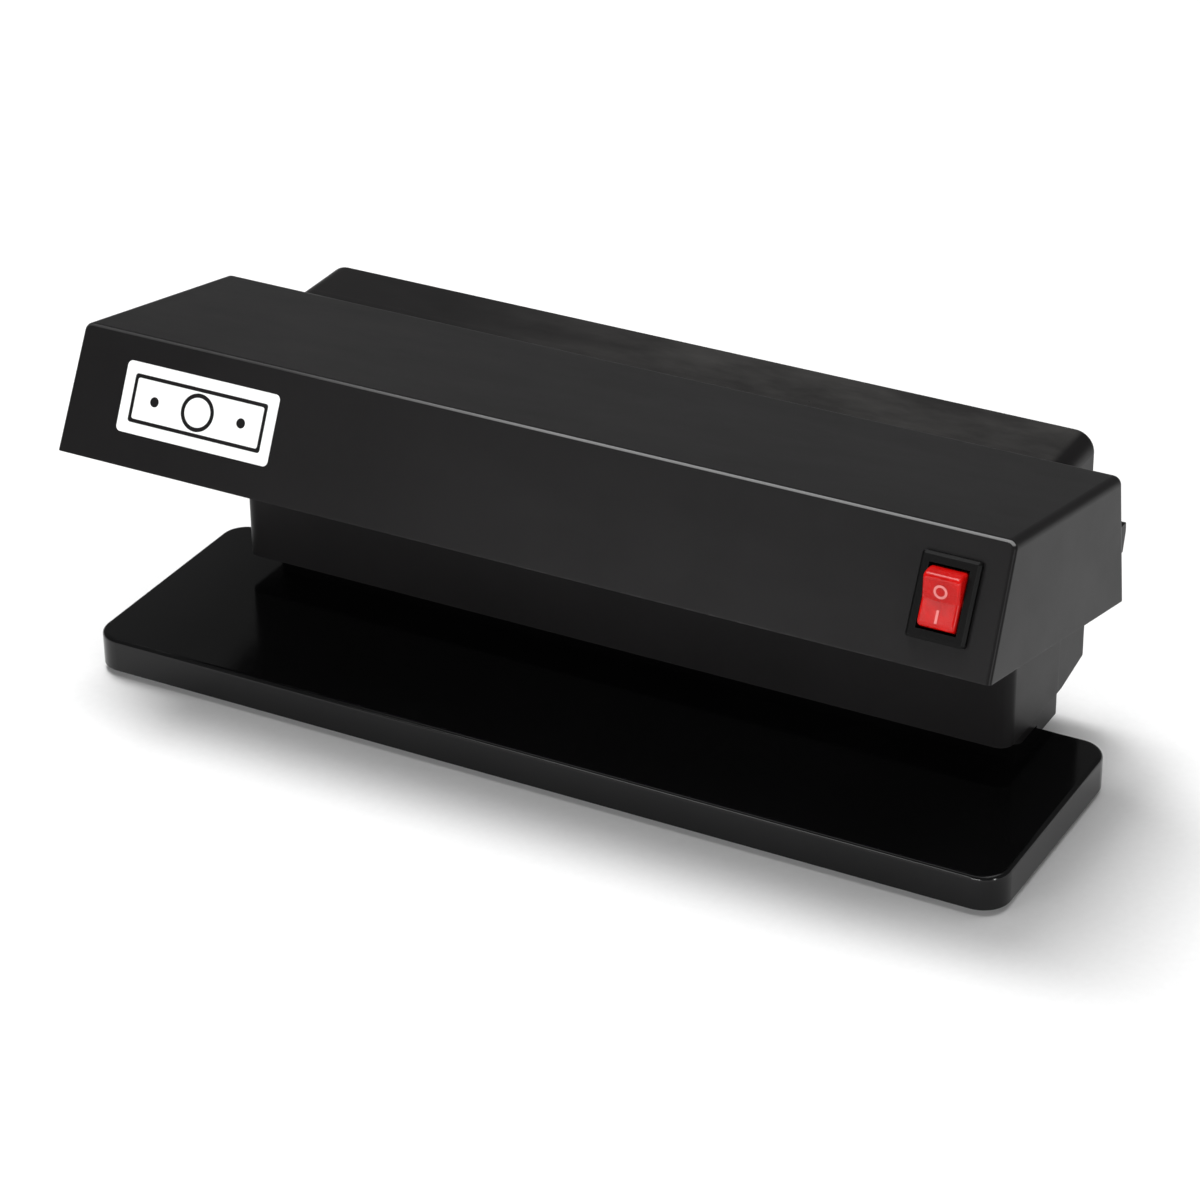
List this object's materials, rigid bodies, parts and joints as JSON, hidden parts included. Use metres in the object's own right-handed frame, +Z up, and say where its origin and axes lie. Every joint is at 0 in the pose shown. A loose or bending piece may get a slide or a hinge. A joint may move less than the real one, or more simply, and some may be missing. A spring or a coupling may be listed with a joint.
{
  "type": "counterfeit bill detector",
  "caption": "Desktop counterfeit bill detector: an ultraviolet lamp in an overhanging black hood above a flat base plate, with a red rocker switch on its front.",
  "frame": {"origin": "centre of the footprint, on the surface that the feet stand on", "axes": "+Z up, +X along the long side towards the switch, -Y towards the user"},
  "size_m": [0.2626, 0.1074, 0.101],
  "materials": {
    "black_abs": "satin black ABS with a fine moulded grain",
    "black_gloss_plastic": "glossy black ABS moulding",
    "black_screw_steel": "black oxide screw",
    "blue_lead": "blue insulated lead",
    "brass": "plain brass",
    "brown_fibre": "phenolic board",
    "brown_lead": "brown insulated lead",
    "cap_aluminium": "satin pressed cap",
    "coil_tape": "amber winding tape",
    "lamination_steel": "varnished silicon steel laminations",
    "mark_white": "white inlay",
    "print_white": "white pad print",
    "red_plastic": "translucent red rocker",
    "reflector_aluminium": "bright rolled sheet",
    "rubber": "black rubber foot",
    "screw_steel": "bright zinc plated screw",
    "spring_steel": "spring wire",
    "starter_shell": "pale starter can",
    "switch_black": "black nylon",
    "violet_glass": "dark violet filter glass",
    "white_lead": "white insulated lead",
    "white_plastic": "white thermoplastic",
    "zinc_steel": "zinc plated sheet steel"
  },
  "bodies": {
    "detector": {"ballast_bracket_left": "zinc_steel", "ballast_bracket_right": "zinc_steel", "ballast_coil": "coil_tape", "ballast_core": "lamination_steel", "ballast_screws": "screw_steel", "base_plate": "black_gloss_plastic", "base_screws": "screw_steel", "bottom_plate": "zinc_steel", "column_screws": "screw_steel", "column_shell": "black_abs", "front_label": "print_white", "holder_contacts": "brass", "holder_screws": "screw_steel", "hood_cover": "black_abs", "hood_screws": "screw_steel", "inlet_body": "switch_black", "inlet_pins": "brass", "lamp_holder_left": "white_plastic", "lamp_holder_right": "white_plastic", "lamp_tray": "black_abs", "lead_ballast_to_lamp": "brown_lead", "lead_inlet_to_switch": "brown_lead", "lead_lamp_to_inlet": "blue_lead", "lead_lamp_to_starter": "white_lead", "lead_starter_to_lamp": "white_lead", "lead_switch_to_ballast": "brown_lead", "pedestal": "black_abs", "rear_cover": "black_abs", "rear_cover_screws": "black_screw_steel", "reflector": "reflector_aluminium", "rubber_foot_front_left": "rubber", "rubber_foot_front_right": "rubber", "rubber_foot_rear_left": "rubber", "rubber_foot_rear_right": "rubber", "socket_screws": "screw_steel", "starter_base": "brown_fibre", "starter_can": "starter_shell", "starter_socket": "white_plastic", "switch_body": "switch_black", "switch_terminals": "brass", "tray_screws": "screw_steel"},
    "rocker": {"rocker": "red_plastic", "rocker_marks": "mark_white", "rocker_plunger": "brass", "plunger_spring": "spring_steel"},
    "contact_lever": {"contact_lever": "brass"},
    "lamp": {"uv_tube": "violet_glass", "tube_pins": "brass", "tube_end_cap_left": "cap_aluminium", "tube_end_cap_right": "cap_aluminium", "holder_rotor_left": "white_plastic", "holder_rotor_right": "white_plastic"}
  },
  "joints": [
    {"name": "rocker_tilt", "type": "hinge", "parent": "detector", "child": "rocker", "pos_m": [0.1152, -0.04626, 0.0863], "axis": [-1, 0, 0], "range_deg": [0, 24]},
    {"name": "lever_tip", "type": "hinge", "parent": "detector", "child": "contact_lever", "pos_m": [0.1152, -0.03608, 0.08116], "axis": [1, 0, 0], "range_deg": [0, 20]},
    {"name": "lamp_twist", "type": "hinge", "parent": "detector", "child": "lamp", "pos_m": [0, -0.0077, 0.07488], "axis": [1, 0, 0], "range_deg": [0, 90]}
  ],
  "couplings": [
    {"joint": "lever_tip", "follows": "rocker_tilt", "ratio": 0.8333}
  ]
}
